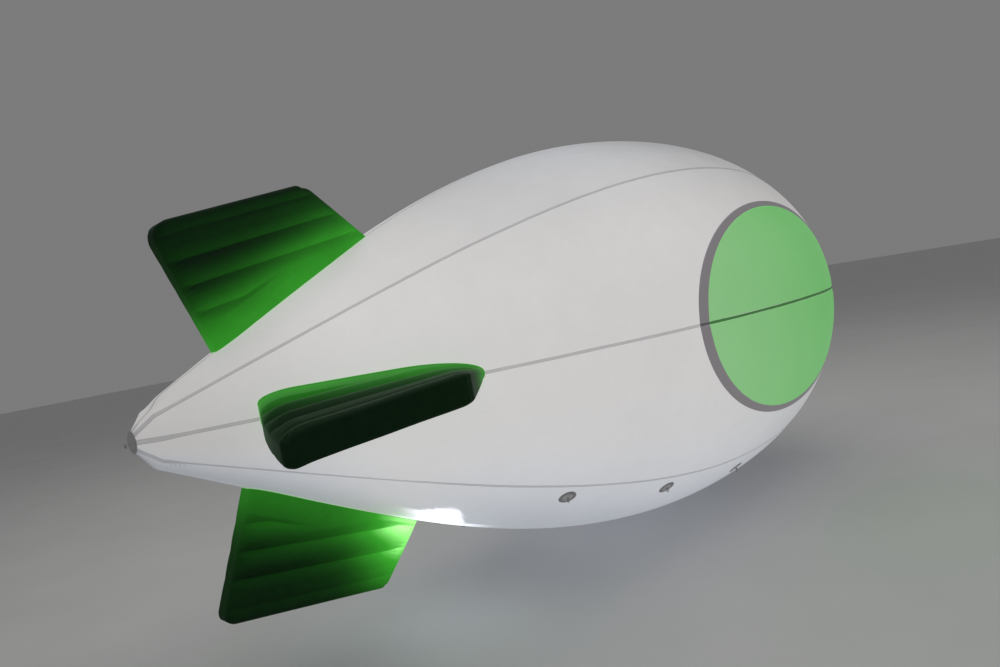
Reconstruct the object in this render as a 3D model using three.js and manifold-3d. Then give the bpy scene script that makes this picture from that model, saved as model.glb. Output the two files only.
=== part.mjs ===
// Inflated advertising blimp: a lit balloon of eight welded gores with four tube fins.
// Millimetres, +X towards the nose, +Z up, +Y to port. The origin lies on the hull's axis at the
// centre of the enclosed air. Angles round the hull are counted from the top towards starboard (-Y).
import * as THREE from "three";
import { mergeVertices } from "three/addons/utils/BufferGeometryUtils.js";
import Module from "manifold-3d";

const wasm = await Module();
wasm.setup();

// Hull: stations are counted forward from the tail's end
const hullLength = 5000;
const airCentre = 2920;
const maxRadius = 1205;
const maxStation = 3175;
const tailRadius = 40;
const tailConeLength = 63;
const tailConeRadius = 122;
const aftCubic = 0.3;
const aftQuartic = -0.37;
const noseFullness = 0.25;
const skinThickness = 10;
const clearance = 0.3;
const degree = Math.PI / 180;

// Gores and the tapes welded over their edges
const goreCount = 8;
const goreAngle = 360 / goreCount;
const goreSteps = 6;
const aftSteps = 10;
const noseSteps = 9;
const noseOpeningRadius = 60;
const tapeThickness = 1;
const seamWidth = 14;
const seamTop = clearance + tapeThickness;

// Fins: half thicknesses at the tip and the root, and how the edges round off. An edge is a wall, a
// share of the half thickness high, from which the face rises over a rounding distance.
const finTipHalf = 61;
const finRootHalf = 76;
const finRootDepth = 570;
const finCornerRadius = 46;
const tipEdge = { wall: 0.72, round: 30 };
const aftEdgeAtTip = { wall: 0.5, round: 70 };
const aftEdgeAtRoot = { wall: 0.5, round: 150 };
const foreEdgeAtTip = { wall: 0.72, round: 40 };
const foreEdgeAtRoot = { wall: 0.04, round: 420 };
const finFoot = seamTop + clearance;
const rootTapeReach = 5;

// Creases between the tubes: depth below the tip, share of the thickness left, half width of the dip,
// and the gap to the hull at which the crease ends
const creases = [
  { depth: 57, left: 0.93, reach: 30, stop: 20 },
  { depth: 165, left: 0.7, reach: 52, stop: 20 },
  { depth: 271, left: 0.66, reach: 52, stop: 20 },
  { depth: 380, left: 0.66, reach: 52, stop: 68 },
];
const creaseFadeAft = 40;
const creaseFadeFore = 50;
const creaseFadeFoot = 15;

// Each fin: its turn from the top in degrees, its corners as [station, radius], how far the tip's two
// corners sag below the fin's own plane, and how far the root's aft end rises above it
const sideRoot = { rootAft: [385, 258], rootFore: [1172, 698] };
const sideTip = { tipAft: [183, 798], tipFore: [872, 942], sag: [78, 15], rise: 14 };
const fins = [
  {
    place: "top",
    turn: 0,
    rootAft: [372, 251],
    rootFore: [1195, 711],
    tipAft: [179, 803],
    tipFore: [878, 958],
    sag: [0, 0],
    rise: 0,
  },
  { place: "starboard", turn: 90, ...sideRoot, ...sideTip },
  {
    place: "bottom",
    turn: 180,
    rootAft: [385, 258],
    rootFore: [1190, 708],
    tipAft: [180, 782],
    tipFore: [922, 932],
    sag: [0, 0],
    rise: 0,
  },
  { place: "port", turn: 270, ...sideRoot, ...sideTip },
];

// Roundel: an oval in side view, centred on a station and a height
const roundelStation = 3307;
const roundelHeight = -10;
const roundelHalfLength = 1042;
const roundelHalfHeight = 615;
const borderAtEnds = 67;
const borderAtSides = 33;

// Tether points and end fittings
const patchRadius = 46;
const patchThickness = 3;
const tailDiscRadius = 41;
const nosePatchRadius = 150;
const nosePatchLift = 2.8;
const nosePatchThickness = 4;
const noseFlatRadius = 45;
const ringRadius = 8;
const ringWire = 2;
const keeperWidth = 7;
const keeperWall = 1.5;
const tetherStandoff = 7;
const endStandoff = 22;

// Belly fittings, on the gore to port of the bottom seam
const bellyAngle = 192;
const zipStation = 2000;
const zipLength = 420;
const zipWidth = 46;
const zipThickness = 5;
const glandStation = 1640;
const glandRadius = 21;
const glandBore = 6;
const glandLength = 32;
const valveStation = 1450;
const valveRadius = 46;
const valveCapRadius = 26;
const valveHeight = 22;

const material = (color, roughness, metalness = 0) =>
  new THREE.MeshStandardMaterial({ color, roughness, metalness });
const paint = {
  skin: () => material(0xd8d8d6, 0.45),
  seam: () => material(0xa9a9ab, 0.5),
  green: () => material(0x1f8a1f, 0.4),
  field: () => material(0x73c373, 0.45),
  grey: () => material(0x77737a, 0.5),
  dark: () => material(0x3b3c40, 0.6),
  metal: () => material(0xc8c9cc, 0.25, 1),
};

const blimp = new THREE.Group();

function addPart(name, geometry, finish) {
  geometry.computeVertexNormals();
  const mesh = new THREE.Mesh(geometry, finish());
  mesh.name = name;
  blimp.add(mesh);
  return mesh;
}

// Booleans

function toSolid(geometry) {
  const bare = geometry.clone();
  bare.deleteAttribute("normal");
  bare.deleteAttribute("uv");
  const merged = mergeVertices(bare, 1e-3);
  return new wasm.Manifold(
    new wasm.Mesh({
      numProp: 3,
      vertProperties: new Float32Array(merged.attributes.position.array),
      triVerts: new Uint32Array(merged.index.array),
    }),
  );
}

function toGeometry(solid) {
  const mesh = solid.getMesh();
  const geometry = new THREE.BufferGeometry();
  geometry.setAttribute("position", new THREE.BufferAttribute(mesh.vertProperties, 3));
  geometry.setIndex(new THREE.BufferAttribute(mesh.triVerts, 1));
  return geometry;
}

// Hull shape

function hullRadius(station) {
  if (station <= tailConeLength) {
    return tailRadius + ((tailConeRadius - tailRadius) * station) / tailConeLength;
  }
  if (station <= maxStation) {
    const u = (maxStation - station) / (maxStation - tailConeLength);
    const square = 1 - tailConeRadius / maxRadius - aftCubic - aftQuartic;
    return maxRadius * (1 - square * u ** 2 - aftCubic * u ** 3 - aftQuartic * u ** 4);
  }
  const v = Math.min(1, (station - maxStation) / (hullLength - maxStation));
  return maxRadius * Math.sqrt((1 - v ** 2) * (1 + noseFullness * v ** 2));
}

// Direction of the outward normal in the plane of axis and radius, as [along, outward].
function hullNormal(station) {
  const step = 0.5;
  const low = Math.max(0, station - step);
  const high = Math.min(hullLength - step, station + step);
  const slope = (hullRadius(high) - hullRadius(low)) / (high - low);
  const length = Math.hypot(1, slope);
  return [-slope / length, 1 / length];
}

// A point of the hull's surface moved out by offset, as [x, radius] in the part's own frame.
function hullPoint(station, offset) {
  const [along, outward] = hullNormal(station);
  return [station - airCentre + along * offset, hullRadius(station) + outward * offset];
}

function around(x, radius, angle) {
  return new THREE.Vector3(x, -radius * Math.sin(angle), radius * Math.cos(angle));
}

// Stations from the tail to where the nose has narrowed to endRadius, closer together at the nose.
function hullStations(endRadius) {
  const stations = [0];
  for (let i = 0; i <= aftSteps; i++) {
    stations.push(tailConeLength + ((maxStation - tailConeLength) * i) / aftSteps);
  }
  let last = hullLength;
  while (hullRadius(last) < endRadius) last -= 0.25;
  const endTurn = Math.asin((last - maxStation) / (hullLength - maxStation));
  for (let i = 1; i <= noseSteps; i++) {
    const turn = (endTurn * i) / noseSteps;
    stations.push(maxStation + (hullLength - maxStation) * Math.sin(turn));
  }
  return stations;
}

const stations = hullStations(noseOpeningRadius);

// A closed slab between two grids of points: face(0..rows, 0..columns) outside, back(...) inside.
function slab(rows, columns, face, back) {
  const position = [];
  const index = [];
  const width = columns + 1;
  const layer = (rows + 1) * width;
  for (const side of [face, back]) {
    for (let r = 0; r <= rows; r++) {
      for (let c = 0; c <= columns; c++) position.push(...side(r, c).toArray());
    }
  }
  const quad = (a, b, c, d) => index.push(a, b, c, a, c, d);
  for (let r = 0; r < rows; r++) {
    for (let c = 0; c < columns; c++) {
      const a = r * width + c;
      quad(a, a + 1, a + width + 1, a + width);
      quad(layer + a, layer + a + width, layer + a + width + 1, layer + a + 1);
    }
  }
  for (let c = 0; c < columns; c++) {
    const end = rows * width + c;
    quad(c + 1, c, layer + c, layer + c + 1);
    quad(end, end + 1, layer + end + 1, layer + end);
  }
  for (let r = 0; r < rows; r++) {
    const first = r * width;
    const last = first + columns;
    quad(first, first + width, layer + first + width, layer + first);
    quad(last + width, last, layer + last, layer + last + width);
  }
  const geometry = new THREE.BufferGeometry();
  geometry.setAttribute("position", new THREE.Float32BufferAttribute(position, 3));
  geometry.setIndex(index);
  return geometry;
}

// The whole hull as one closed body of revolution between two offsets from its surface. Without an
// inner offset the body is solid through to the axis.
function hullBody(outer, inner) {
  const ring = (offset) => stations.map((station) => hullPoint(station, offset));
  const outline = ring(outer).map(([x, radius]) => new THREE.Vector2(radius, x));
  if (inner === undefined) {
    outline.unshift(new THREE.Vector2(0, outline[0].y));
    outline.push(new THREE.Vector2(0, outline[outline.length - 1].y));
  } else {
    const back = ring(inner).map(([x, radius]) => new THREE.Vector2(radius, x));
    outline.push(...back.reverse(), outline[0].clone());
  }
  const lathe = new THREE.LatheGeometry(outline, goreCount * goreSteps);
  return toSolid(lathe.rotateZ(-Math.PI / 2));
}

// Gores, each between two seams
const gores = [
  // name, number of seams passed from the top
  ["gore_top_starboard", 0],
  ["gore_upper_starboard", 1],
  ["gore_lower_starboard", 2],
  ["gore_bottom_starboard", 3],
  ["gore_bottom_port", 4],
  ["gore_lower_port", 5],
  ["gore_upper_port", 6],
  ["gore_top_port", 7],
];

function gore(place) {
  const point = (offset) => (row, column) => {
    const [x, radius] = hullPoint(stations[row], offset);
    const edge = column === 0 ? 1 : column === goreSteps ? -1 : 0;
    const angle = (place + column / goreSteps) * goreAngle * degree;
    return around(x, radius, angle + (edge * clearance) / 2 / radius);
  };
  return slab(stations.length - 1, goreSteps, point(0), point(-skinThickness));
}

for (const [name, place] of gores) addPart(name, gore(place), paint.skin);

// Seam tapes, each over the gap between two gores
const seams = [
  // name, seam's place counted from the top
  ["seam_top", 0],
  ["seam_upper_starboard", 1],
  ["seam_starboard", 2],
  ["seam_lower_starboard", 3],
  ["seam_bottom", 4],
  ["seam_lower_port", 5],
  ["seam_port", 6],
  ["seam_upper_port", 7],
];

const skinShell = hullBody(seamTop, clearance);
const seamBlock = new THREE.BoxGeometry(2 * hullLength, seamWidth, maxRadius + seamTop);
seamBlock.translate(0, 0, (maxRadius + seamTop) / 2);
const seamTape = skinShell.intersect(toSolid(seamBlock));

for (const [name, place] of seams) {
  addPart(name, toGeometry(seamTape), paint.seam).rotation.x = place * goreAngle * degree;
}

// Fins

// How far a share of its rounding distance from an edge the face has risen, as a share of its height.
function risen({ wall, round }, distance) {
  const share = Math.min(1, Math.max(0, distance / round));
  return wall + (1 - wall) * Math.sqrt(1 - (1 - share) ** 2);
}

// An edge's wall and rounding at a share of the way from the tip down to the root.
function sideEdge(atTip, atRoot, down) {
  const blend = (key) => atTip[key] + (atRoot[key] - atTip[key]) * down;
  return { wall: blend("wall"), round: blend("round") };
}

const aftEdge = (down) => sideEdge(aftEdgeAtTip, aftEdgeAtRoot, down);
const foreEdge = (down) => sideEdge(foreEdgeAtTip, foreEdgeAtRoot, down);

// The share of the way from the tip down to the hull at a depth, where a gap is left to the hull.
function shareDown(depth, gap) {
  return depth === 0 ? 0 : depth / (depth + gap);
}

// Half thickness at a depth below the tip, at distances in from the aft and fore edges, and at a gap
// to the hull.
function finHalf(depth, fromAft, fromFore, gap) {
  const down = shareDown(depth, gap);
  const ends = Math.min(1, fromAft / creaseFadeAft, fromFore / creaseFadeFore);
  let half = finTipHalf + (finRootHalf - finTipHalf) * down;
  for (const crease of creases) {
    const near = Math.max(0, 1 - Math.abs(depth - crease.depth) / crease.reach);
    const foot = Math.min(1, Math.max(0, (gap - crease.stop) / creaseFadeFoot));
    half *= 1 - (1 - crease.left) * near ** 2 * Math.min(ends, foot);
  }
  half *= risen(aftEdge(down), fromAft) * risen(foreEdge(down), fromFore);
  return half * risen(tipEdge, depth);
}

// Draws a corner of the outline in to an arc: side and depth are distances from the two edges.
function roundCorner(side, depth) {
  const x = finCornerRadius - side;
  const y = finCornerRadius - depth;
  if (x <= 0 || y <= 0) return [side, depth];
  const share = Math.max(x, y) / Math.hypot(x, y);
  return [finCornerRadius - x * share, finCornerRadius - y * share];
}

// One fin before its foot is cut to the hull: it stands in the plane of X and Z and is thick along Y.
function finBlank(fin, grow) {
  const depths = [0, 8, 30, 57, 82, 111, 143, 165, 187, 218, 249, 271, 293, 325, 358, 380, 402, 450, 510];
  depths.push(finRootDepth);
  const rises = [0, 0.15, 0.5, 1];
  const middleSteps = 5;
  const columns = 2 * rises.length + middleSteps - 2;
  const tipAft = new THREE.Vector2(...fin.tipAft);
  const tipFore = new THREE.Vector2(...fin.tipFore);
  const along = tipFore.clone().sub(tipAft).normalize();
  const inward = new THREE.Vector2(along.y, -along.x);
  // Where the side edge through a root and a tip corner lies along the tip's direction, at a depth
  const edgeAt = (root, tip, depth) => {
    const down = new THREE.Vector2(...root).sub(tip);
    return tip.clone().sub(tipAft).dot(along) + (down.dot(along) * depth) / down.dot(inward);
  };
  // The sag grows from the root to the tip, and points down once the fin is turned to its side
  const sagSide = Math.sin(fin.turn * degree) > 0 ? -1 : 1;
  const sag = (share, down) => {
    const tip = fin.sag[0] + (fin.sag[1] - fin.sag[0]) * share;
    return sagSide * (tip * (1 - down) - fin.rise * (1 - share) * down);
  };
  const point = (sign) => (row, column) => {
    const depth = depths[row];
    const aft = edgeAt(fin.rootAft, tipAft, depth) - grow;
    const fore = edgeAt(fin.rootFore, tipFore, depth) + grow;
    const downEdge = Math.min(1, depth / finRootDepth);
    const aftRound = aftEdge(downEdge).round;
    const foreRound = foreEdge(downEdge).round;
    let fromAft;
    if (column < rises.length) {
      fromAft = rises[column] * aftRound;
    } else if (columns - column < rises.length) {
      fromAft = fore - aft - rises[columns - column] * foreRound;
    } else {
      const share = (column - rises.length + 1) / middleSteps;
      fromAft = aftRound + (fore - aft - aftRound - foreRound) * share;
    }
    const fromFore = fore - aft - fromAft;
    const nearer = Math.min(fromAft, fromFore);
    const [roundSide, roundDepth] = roundCorner(nearer, depth);
    const across = fromAft <= fromFore ? aft + roundSide : fore - roundSide;
    const spot = tipAft.clone().addScaledVector(along, across).addScaledVector(inward, roundDepth);
    const gap = Math.max(0, spot.y - hullRadius(spot.x));
    const half = finHalf(depth, fromAft, fromFore, gap) + grow;
    const middle = sag(fromAft / (fore - aft), shareDown(depth, gap));
    return new THREE.Vector3(spot.x - airCentre, middle + sign * half, spot.y);
  };
  return toSolid(slab(depths.length - 1, columns, point(1), point(-1)));
}

const finCut = hullBody(finFoot);
const tapeShell = hullBody(finFoot + tapeThickness, finFoot);

for (const fin of fins) {
  const body = finBlank(fin, 0).subtract(finCut);
  const tape = tapeShell.intersect(finBlank(fin, rootTapeReach)).subtract(finBlank(fin, clearance));
  addPart(`fin_${fin.place}`, toGeometry(body), paint.green).rotation.x = fin.turn * degree;
  addPart(`fin_root_tape_${fin.place}`, toGeometry(tape), paint.field).rotation.x = fin.turn * degree;
}

// Roundels: each half lies against the side seam and is a field inside a border

const seamEdge = seamWidth / 2 + 2 * clearance;

// A block through the hull's side: the part of an oval above or below the side seam.
function ovalBlock(halfLength, halfHeight, upper, side) {
  const edge = upper * seamEdge - roundelHeight;
  const start = Math.asin(edge / halfHeight);
  const [from, to] = upper > 0 ? [start, Math.PI - start] : [Math.PI - start, 2 * Math.PI + start];
  const oval = new THREE.Shape();
  oval.absellipse(roundelStation - airCentre, roundelHeight, halfLength, halfHeight, from, to);
  const block = new THREE.ExtrudeGeometry(oval, {
    depth: 2 * maxRadius,
    bevelEnabled: false,
    curveSegments: 16,
  });
  block.rotateX(Math.PI / 2);
  if (side > 0) block.translate(0, 2 * maxRadius, 0);
  return toSolid(block);
}

const roundelHalves = [
  // name, side (-1 starboard, +1 port), +1 above the seam or -1 below it
  ["starboard_upper", -1, 1],
  ["starboard_lower", -1, -1],
  ["port_upper", 1, 1],
  ["port_lower", 1, -1],
];

for (const [place, side, upper] of roundelHalves) {
  const oval = (ends, sides) =>
    ovalBlock(roundelHalfLength - ends, roundelHalfHeight - sides, upper, side);
  const field = skinShell.intersect(oval(borderAtEnds + clearance, borderAtSides + clearance));
  const border = skinShell.intersect(oval(0, 0)).subtract(oval(borderAtEnds, borderAtSides));
  addPart(`roundel_field_${place}`, toGeometry(field), paint.field);
  addPart(`roundel_border_${place}`, toGeometry(border), paint.grey);
}

// Tether points

// A ring about the Y axis that hangs below the keeper's bore, which runs along X at height zero.
function ring(wire) {
  const torus = new THREE.TorusGeometry(ringRadius, wire, 6, 16);
  torus.rotateX(Math.PI / 2);
  torus.translate(0, 0, -ringRadius);
  return torus;
}

// A disc that faces +Z with its outer face at height zero.
function disc(radius, thickness) {
  const plate = new THREE.CylinderGeometry(radius, radius, thickness, 24);
  plate.rotateX(Math.PI / 2);
  plate.translate(0, 0, -thickness / 2);
  return plate;
}

// A strap keeper that stands on a face at height zero and holds a bore at its standoff.
function keeper(standoff) {
  const size = ringWire + clearance + keeperWall;
  const strap = new THREE.BoxGeometry(keeperWidth, 2 * size, standoff + size);
  strap.translate(0, 0, (standoff + size) / 2 - 0.5);
  return toSolid(strap);
}

// A patch with its keeper, cut free round a ring that hangs the way the frame's down points.
function tetherPoint(name, base, standoff, frame, spin) {
  const ringFrame = frame.clone().multiply(new THREE.Matrix4().makeTranslation(0, 0, standoff));
  const place = new THREE.Vector3().setFromMatrixPosition(ringFrame);
  const hang = new THREE.Matrix4().makeRotationZ(spin).setPosition(place);
  const path = toSolid(ring(ringWire + clearance).applyMatrix4(hang));
  const patch = toSolid(toGeometry(base.add(keeper(standoff))).applyMatrix4(frame));
  addPart(`tether_patch_${name}`, toGeometry(patch.subtract(path)), paint.grey);
  addPart(`tether_ring_${name}`, ring(ringWire).applyMatrix4(hang), paint.metal);
}

// A frame on the hull's surface: Z along the outward normal, X forward along the surface.
function surfaceFrame(station, angle, height) {
  const [x, radius] = hullPoint(station, height);
  const [slopeAlong, outward] = hullNormal(station);
  const up = around(slopeAlong, outward, angle * degree);
  const port = new THREE.Vector3(0, Math.cos(angle * degree), Math.sin(angle * degree));
  const ahead = new THREE.Vector3().crossVectors(port, up);
  return new THREE.Matrix4().makeBasis(ahead, port, up).setPosition(around(x, radius, angle * degree));
}

const tetherPoints = [
  // name, station, angle from the top towards starboard
  ["aft_starboard", 1671, 140.3],
  ["mid_starboard", 2315, 139.8],
  ["fore_starboard", 3034, 142],
  ["aft_port", 1671, -140.3],
  ["mid_port", 2315, -139.8],
  ["fore_port", 3034, -142],
];

for (const [name, station, angle] of tetherPoints) {
  const frame = surfaceFrame(station, angle, clearance + patchThickness);
  const base = toSolid(disc(patchRadius, patchThickness));
  tetherPoint(name, base, tetherStandoff, frame, 0);
}

// A frame on the axis that faces aft (-1) or forward (+1), its X to port.
function endFrame(x, facing) {
  const port = new THREE.Vector3(0, 1, 0);
  const out = new THREE.Vector3(facing, 0, 0);
  const frame = new THREE.Matrix4().makeBasis(port, new THREE.Vector3(0, 0, facing), out);
  return frame.setPosition(x, 0, 0);
}

const tailFace = -airCentre - seamTop - clearance - patchThickness;
const tailDisc = toSolid(disc(tailDiscRadius, patchThickness));
tetherPoint("tail", tailDisc, endStandoff, endFrame(tailFace, -1), Math.PI / 2);

// The nose patch is a shallow cap over the ends of the gores, with a flat middle.
function nosePatch() {
  const steps = 3;
  const rim = stations.findLast((station) => hullRadius(station) > nosePatchRadius);
  const cap = (offset) => {
    const points = [];
    for (let i = 0; i <= steps; i++) {
      const radius = nosePatchRadius - ((nosePatchRadius - noseFlatRadius) * i) / steps;
      let station = rim;
      while (hullRadius(station) > radius) station += 0.25;
      const [x, reach] = hullPoint(station, offset);
      points.push(new THREE.Vector2(reach, x));
    }
    return points;
  };
  const outer = cap(nosePatchLift + nosePatchThickness);
  const inner = cap(nosePatchLift);
  const front = outer[steps].y;
  const outline = [
    new THREE.Vector2(0, front - nosePatchThickness),
    ...inner.reverse(),
    ...outer,
    new THREE.Vector2(0, front),
  ];
  const lathe = new THREE.LatheGeometry(outline, (goreCount * goreSteps) / 2);
  lathe.rotateX(Math.PI / 2).translate(0, 0, -front);
  return { solid: toSolid(lathe), front };
}

const nose = nosePatch();
tetherPoint("nose", nose.solid, endStandoff, endFrame(nose.front, 1), Math.PI / 2);

// Belly fittings

function onHull(geometry, station, angle, height) {
  return geometry.applyMatrix4(surfaceFrame(station, angle, height));
}

// The zip flap bends with the hull along its length.
function zipFlap(station, angle) {
  const rows = 8;
  const columns = 2;
  const point = (offset) => (row, column) => {
    const at = station + (row / rows - 0.5) * zipLength;
    const [x, radius] = hullPoint(at, offset);
    const shift = ((column / columns - 0.5) * zipWidth) / radius;
    return around(x, radius, angle * degree + shift);
  };
  return slab(rows, columns, point(2 * clearance + zipThickness), point(2 * clearance));
}

addPart("lamp_zip_flap", zipFlap(zipStation, bellyAngle), paint.dark);

function tubeBlank(radius, bore, from, to) {
  const outline = [
    new THREE.Vector2(bore, from),
    new THREE.Vector2(radius, from),
    new THREE.Vector2(radius, to),
    new THREE.Vector2(bore, to),
    new THREE.Vector2(bore, from),
  ];
  const tube = new THREE.LatheGeometry(outline, 16);
  tube.rotateX(Math.PI / 2);
  return tube;
}

const glandBase = toSolid(tubeBlank(2 * glandRadius, glandBore, 0, patchThickness));
const glandNeck = toSolid(tubeBlank(glandRadius, glandBore, patchThickness / 2, glandLength));
const gland = toGeometry(glandBase.add(glandNeck));
addPart("cable_gland", onHull(gland, glandStation, bellyAngle, 1), paint.dark);

const valveBase = toSolid(disc(valveRadius, patchThickness).translate(0, 0, patchThickness));
const valveCap = toSolid(disc(valveCapRadius, valveHeight).translate(0, 0, valveHeight));
const valve = toGeometry(valveBase.add(valveCap));
addPart("air_valve", onHull(valve, valveStation, bellyAngle, 1), paint.grey);

export default blimp;
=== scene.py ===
"""Looks of an inflated, internally lit advertising blimp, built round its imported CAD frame."""
import math

import bpy
from mathutils import Matrix, Vector, noise


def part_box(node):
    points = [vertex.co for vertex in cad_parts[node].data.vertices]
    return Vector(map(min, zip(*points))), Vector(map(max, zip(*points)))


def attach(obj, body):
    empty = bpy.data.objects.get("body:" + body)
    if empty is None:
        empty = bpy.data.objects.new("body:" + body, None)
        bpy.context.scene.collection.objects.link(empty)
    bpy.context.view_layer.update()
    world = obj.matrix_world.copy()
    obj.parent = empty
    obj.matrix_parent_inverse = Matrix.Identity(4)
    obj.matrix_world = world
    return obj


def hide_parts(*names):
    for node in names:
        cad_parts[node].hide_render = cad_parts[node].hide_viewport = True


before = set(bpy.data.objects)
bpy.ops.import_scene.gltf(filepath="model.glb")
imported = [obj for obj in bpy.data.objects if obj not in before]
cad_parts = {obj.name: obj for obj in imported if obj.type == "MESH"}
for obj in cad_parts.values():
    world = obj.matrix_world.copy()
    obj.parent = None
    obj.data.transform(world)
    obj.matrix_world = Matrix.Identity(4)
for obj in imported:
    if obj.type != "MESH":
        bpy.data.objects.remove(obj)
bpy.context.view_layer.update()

# Hull, in metres; stations are counted forward from the tail's end
HULL_LENGTH = 5.0
TAIL_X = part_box("gore_top_port")[0].x
MAX_RADIUS = 1.205
MAX_STATION = 3.175
TAIL_RADIUS = 0.040
CONE_LENGTH = 0.063
CONE_RADIUS = 0.122
AFT_CUBIC = 0.3
AFT_QUARTIC = -0.37
NOSE_FULLNESS = 0.25
NOSE_OPENING = 0.06
SKIN = 0.01
GORE_COUNT = 8
GORE_ANGLE = 2 * math.pi / GORE_COUNT

# Seams: a welded strip, the shallow valley that it lies in, and the puckers beside it
SEAM_WIDTH = 0.014
SEAM_LIFT = 0.0003
SEAM_THICKNESS = 0.001
VALLEY_DEPTH = 0.0032
VALLEY_REACH = 0.034
PUCKER_DEPTH = 0.0011
PUCKER_PLACE = 0.016
PUCKER_REACH = 0.05
WAVE_DEPTH = 0.0022

# Tail: the stations of short pleats below each lower seam, and a flatter top
LOWER_SEAMS = (3, 5)
PLEATS = (0.091, 0.103, 0.116, 0.130)
PLEAT_WIDTH = 0.0026
PLEAT_DEPTH = 0.0012
PLEAT_SHADE = 0.22
TAIL_FLAT = 0.022
TAIL_FLAT_REACH = 0.034

# Fins: half thicknesses, and each edge's wall (a share of the thickness) and rounding
FIN_TIP_HALF = 0.061
FIN_ROOT_HALF = 0.076
TIP_EDGE = (0.72, 0.03)
AFT_EDGE_TIP = (0.5, 0.07)
AFT_EDGE_ROOT = (0.5, 0.15)
FORE_EDGE_TIP = (0.72, 0.04)
FORE_EDGE_ROOT = (0.04, 0.42)
CREASES = (
    # depth below the tip, share of the thickness left, reach, gap to the hull at which it ends
    (0.057, 0.93, 0.03, 0.02),
    (0.165, 0.70, 0.052, 0.02),
    (0.271, 0.66, 0.052, 0.02),
    (0.380, 0.66, 0.052, 0.108),
)
CREASE_FADE_AFT = 0.04
CREASE_FADE_FORE = 0.05
CREASE_FADE_FOOT = 0.015
WRINKLE_DEPTH = 0.0085
WRINKLE_REACH = 0.03
FAN_DEPTH = 0.003
FAN_REACH = 0.028
FAN_PITCH = 0.02
FILM_WAVE = 0.002
SIDE_CORNERS = ((0.385, 0.258), (1.172, 0.698), (0.183, 0.798), (0.872, 0.942))
FINS = (
    # corners as (station, distance from the axis): root aft, root fore, tip aft, tip fore; rounding and
    # sag of the tip's two corners; rise of the root's aft end; droop of the tip's aft corner; bow of the
    # aft edge; half thickness at the root; share of the light at the root
    {
        "place": "top", "turn": 0,
        "corners": ((0.372, 0.251), (1.195, 0.711), (0.179, 0.803), (0.878, 0.958)),
        "rounding": (0.085, 0.046), "root_half": 0.052, "light": 1.15,
    },
    {
        "place": "starboard", "turn": 90, "corners": SIDE_CORNERS,
        "rounding": (0.046, 0.020), "sags": (0.072, 0.011), "rise": 0.018, "droop": 0.014,
        "bow": 0.020, "light": 1.15,
    },
    {
        "place": "bottom", "turn": 180,
        "corners": ((0.397, 0.264), (1.190, 0.708), (0.180, 0.782), (0.922, 0.932)),
        "rounding": (0.046, 0.022), "light": 0.62,
    },
    {
        "place": "port", "turn": 270, "corners": SIDE_CORNERS,
        "rounding": (0.130, 0.046), "sags": (0.050, 0.011), "rise": 0.018,
    },
)
DROOP_REACH = 0.05
BOW_SPAN = 0.54
FIN_FOOT = 0.0016
ROOT_TAPE_REACH = 0.005

# Roundel: an oval in side view; half lengths and half heights of its outer and inner rim
ROUNDEL_STATION = 3.307
ROUNDEL_HEIGHT = -0.010
ROUNDEL_OUTER = (1.042, 0.615)
BORDER_WIDTHS = (0.067, 0.033)
ROUNDEL_INNER = tuple(outer - width for outer, width in zip(ROUNDEL_OUTER, BORDER_WIDTHS))

# Tether points and end fittings
PATCH_RADIUS = 0.046
PATCH_THICKNESS = 0.003
TAIL_DISC_RADIUS = 0.041
NOSE_PATCH_RADIUS = 0.15
RING_RADIUS = 0.008
RING_WIRE = 0.002
RING_STANDOFF = 0.007
END_RING_STANDOFF = 0.022
KEEPER_WIDTH = 0.007
WEBBING = 0.0018
SIDES = (("starboard", -1), ("port", 1))
TETHER_POINTS = (
    # place, station, degrees down from the top on either side
    ("aft", 1.671, 140.3),
    ("mid", 2.315, 139.8),
    ("fore", 3.034, 142.0),
)

# Camera, fitted to the photograph's outline, seams and fins
CAMERA_PLACE = Vector((-3.7466, -2.8545, 0.2669))
CAMERA_RIGHT = Vector((0.69608, -0.69669, -0.17349))
CAMERA_UP = Vector((0.15110, -0.09408, 0.98403))
CAMERA_LENS = 25.353


def put_in_scene(name, data):
    placed = bpy.data.objects.new(name, data)
    bpy.context.scene.collection.objects.link(placed)
    return placed


def place_camera():
    data = bpy.data.cameras.new("camera")
    data.sensor_width = 36
    data.lens = CAMERA_LENS
    data.clip_end = 400
    camera = put_in_scene("camera", data)
    turn = Matrix((CAMERA_RIGHT, CAMERA_UP, CAMERA_RIGHT.cross(CAMERA_UP))).transposed()
    camera.matrix_world = Matrix.Translation(CAMERA_PLACE) @ turn.to_4x4()
    bpy.context.scene.camera = camera


place_camera()


# Shapes of the hull

def mix(a, b, share):
    return a + (b - a) * share


def clamp(value, low=0.0, high=1.0):
    return max(low, min(high, value))


def smooth(low, high, value):
    """0 on low's side, 1 on high's side and a smooth change between them."""
    share = clamp((value - low) / (high - low))
    return share * share * (3 - 2 * share)


def bell(away, reach):
    """1 at no distance, falling smoothly to almost 0 at twice the reach."""
    return math.exp(-((away / reach) ** 2))


def noise_at(x, y, z):
    return noise.noise(Vector((x, y, z)))


def hull_radius(station):
    if station <= CONE_LENGTH:
        return mix(TAIL_RADIUS, CONE_RADIUS, station / CONE_LENGTH)
    if station <= MAX_STATION:
        u = (MAX_STATION - station) / (MAX_STATION - CONE_LENGTH)
        square = 1 - CONE_RADIUS / MAX_RADIUS - AFT_CUBIC - AFT_QUARTIC
        return MAX_RADIUS * (1 - square * u**2 - AFT_CUBIC * u**3 - AFT_QUARTIC * u**4)
    v = min(1.0, (station - MAX_STATION) / (HULL_LENGTH - MAX_STATION))
    return MAX_RADIUS * math.sqrt((1 - v * v) * (1 + NOSE_FULLNESS * v * v))


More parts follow.
